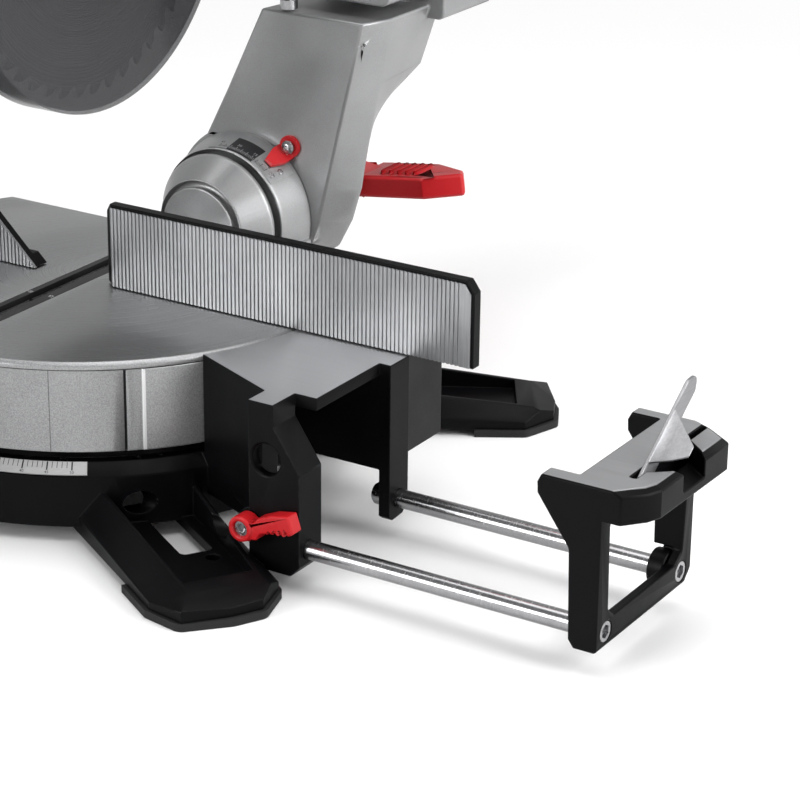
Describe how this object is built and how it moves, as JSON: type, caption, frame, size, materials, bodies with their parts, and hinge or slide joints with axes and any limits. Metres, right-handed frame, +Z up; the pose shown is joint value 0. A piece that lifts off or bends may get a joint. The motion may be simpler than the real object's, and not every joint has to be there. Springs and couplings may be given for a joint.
{
  "type": "sliding compound mitre saw",
  "caption": "Sliding compound mitre saw with turntable, tilting arm, fence and pull-out work supports with fold-up stops.",
  "frame": {"origin": "where the turntable's pivot axis meets the bench, in the middle of the four bench screw holes", "axes": "+X along the fence to the user's right, +Y away from the user towards the rails, +Z up"},
  "size_m": [0.965, 0.9315, 0.5233],
  "materials": {
    "cast_black": "satin",
    "cast_grey": "satin",
    "red_plastic": "satin",
    "smoked_plastic": "satin",
    "black_plastic": "matte",
    "steel": "satin",
    "chrome_steel": "polished",
    "machined_aluminium": "satin",
    "rubber": "matte",
    "scale_silver": "satin",
    "scale_dark": "satin",
    "stainless": "satin",
    "spring_steel": "satin",
    "blade_steel": "satin"
  },
  "bodies": {
    "base": {"base_casting": "cast_black", "foot_pads": "rubber", "mitre_scale": "scale_silver", "pivot_bolt": "steel", "fence_left": "cast_black", "fence_right": "cast_black", "fence_face_left": "machined_aluminium", "fence_face_right": "machined_aluminium", "fence_bolts": "steel"},
    "turntable": {"turntable": "cast_grey", "kerf_plate_left": "black_plastic", "kerf_plate_right": "black_plastic", "table_screws": "steel", "mitre_pointer": "red_plastic", "bevel_hub": "cast_grey", "bevel_scale": "scale_dark"},
    "mitre_knob": {"mitre_knob": "black_plastic", "lock_rod": "steel"},
    "detent_lever": {"detent_lever": "steel"},
    "bevel_arm": {"tilt_arm": "cast_grey", "rail_bushes": "black_plastic", "bevel_pointer": "red_plastic", "arm_hardware": "steel"},
    "bevel_lever": {"bevel_lever": "red_plastic"},
    "slide_lock_knob": {"slide_lock_knob": "black_plastic"},
    "carriage": {"carriage": "cast_grey", "slide_rails": "chrome_steel", "rail_end_bracket": "black_plastic", "chop_shaft": "steel", "return_spring": "spring_steel", "depth_stop": "steel"},
    "head_lock_pin": {"head_lock_pin": "steel"},
    "head": {"gear_housing": "cast_grey", "upper_guard": "cast_grey", "dust_port": "black_plastic", "motor_housing": "black_plastic", "motor_cap": "red_plastic", "brush_caps": "black_plastic", "main_handle": "black_plastic", "carry_handle": "black_plastic", "cord_gland": "rubber"},
    "trigger": {"trigger": "red_plastic"},
    "lock_off_button": {"lock_off_button": "red_plastic"},
    "blade": {"saw_blade": "blade_steel", "arbor_shaft": "steel", "blade_flanges": "steel", "arbor_bolt": "steel"},
    "lower_guard": {"lower_guard": "smoked_plastic"},
    "extension_left": {"extension_bracket_left": "cast_black", "extension_rods_left": "chrome_steel", "extension_pins_left": "steel"},
    "extension_right": {"extension_bracket_right": "cast_black", "extension_rods_right": "chrome_steel", "extension_pins_right": "steel"},
    "work_stop_left": {"work_stop_left": "stainless"},
    "work_stop_right": {"work_stop_right": "stainless"},
    "clamp_left": {"clamp_lever_left": "red_plastic", "clamp_screw_left": "steel"},
    "clamp_right": {"clamp_lever_right": "red_plastic", "clamp_screw_right": "steel"}
  },
  "joints": [
    {"name": "mitre", "type": "hinge", "parent": "base", "child": "turntable", "pos_m": [0, 0, 0.1], "axis": [0, 0, 1], "range_deg": [-50, 50]},
    {"name": "mitre_lock", "type": "hinge", "parent": "turntable", "child": "mitre_knob", "pos_m": [0, -0.3, 0.09], "axis": [0, -1, 0], "range_deg": [0, 180]},
    {"name": "detent", "type": "hinge", "parent": "turntable", "child": "detent_lever", "pos_m": [0, -0.236, 0.0556], "axis": [1, 0, 0], "range_deg": [-2.3, 0]},
    {"name": "bevel", "type": "hinge", "parent": "turntable", "child": "bevel_arm", "pos_m": [0, 0.1724, 0.113], "axis": [0, 1, 0], "range_deg": [-45, 0]},
    {"name": "bevel_lock", "type": "hinge", "parent": "bevel_arm", "child": "bevel_lever", "pos_m": [0, 0.28, 0.113], "axis": [0, 1, 0], "range_deg": [-35, 0]},
    {"name": "slide", "type": "slide", "parent": "bevel_arm", "child": "carriage", "axis": [0, 1, 0], "range_m": [-0.22, 0]},
    {"name": "slide_lock", "type": "hinge", "parent": "bevel_arm", "child": "slide_lock_knob", "pos_m": [0.13, 0.306, 0.29], "axis": [1, 0, 0], "range_deg": [0, 180]},
    {"name": "chop", "type": "hinge", "parent": "carriage", "child": "head", "pos_m": [0, 0.208, 0.334], "axis": [1, 0, 0], "range_deg": [0, 35], "stiffness_Nm_per_rad": 14, "springref_deg": -108.86},
    {"name": "head_lock", "type": "slide", "parent": "carriage", "child": "head_lock_pin", "axis": [-1, 0, 0], "range_m": [0, 0.008], "stiffness_N_per_m": 400},
    {"name": "trigger_pull", "type": "slide", "parent": "head", "child": "trigger", "axis": [0, 0, -1], "range_m": [0, 0.005], "stiffness_N_per_m": 600},
    {"name": "lock_off", "type": "slide", "parent": "head", "child": "lock_off_button", "axis": [1, 0, 0], "range_m": [0, 0.002], "stiffness_N_per_m": 500},
    {"name": "blade_spin", "type": "hinge", "parent": "head", "child": "blade", "pos_m": [0, 0, 0.364], "axis": [1, 0, 0], "continuous": true},
    {"name": "guard_swing", "type": "hinge", "parent": "head", "child": "lower_guard", "pos_m": [0, 0, 0.364], "axis": [1, 0, 0], "range_deg": [-150, 0]},
    {"name": "extend_left", "type": "slide", "parent": "base", "child": "extension_left", "axis": [-1, 0, 0], "range_m": [-0.15, 0]},
    {"name": "extend_right", "type": "slide", "parent": "base", "child": "extension_right", "axis": [1, 0, 0], "range_m": [-0.15, 0]},
    {"name": "stop_left", "type": "hinge", "parent": "extension_left", "child": "work_stop_left", "pos_m": [-0.463, -0.104, 0.11], "axis": [1, 0, 0], "range_deg": [-35, 0]},
    {"name": "stop_right", "type": "hinge", "parent": "extension_right", "child": "work_stop_right", "pos_m": [0.463, -0.104, 0.11], "axis": [1, 0, 0], "range_deg": [-35, 0]},
    {"name": "clamp_turn_left", "type": "hinge", "parent": "base", "child": "clamp_left", "pos_m": [-0.2195, -0.14, 0.0375], "axis": [0, 1, 0], "range_deg": [0, 60]},
    {"name": "clamp_turn_right", "type": "hinge", "parent": "base", "child": "clamp_right", "pos_m": [0.2195, -0.14, 0.0375], "axis": [0, -1, 0], "range_deg": [0, 60]}
  ],
  "couplings": [
    {"joint": "guard_swing", "follows": "chop", "ratio": -4.18}
  ]
}
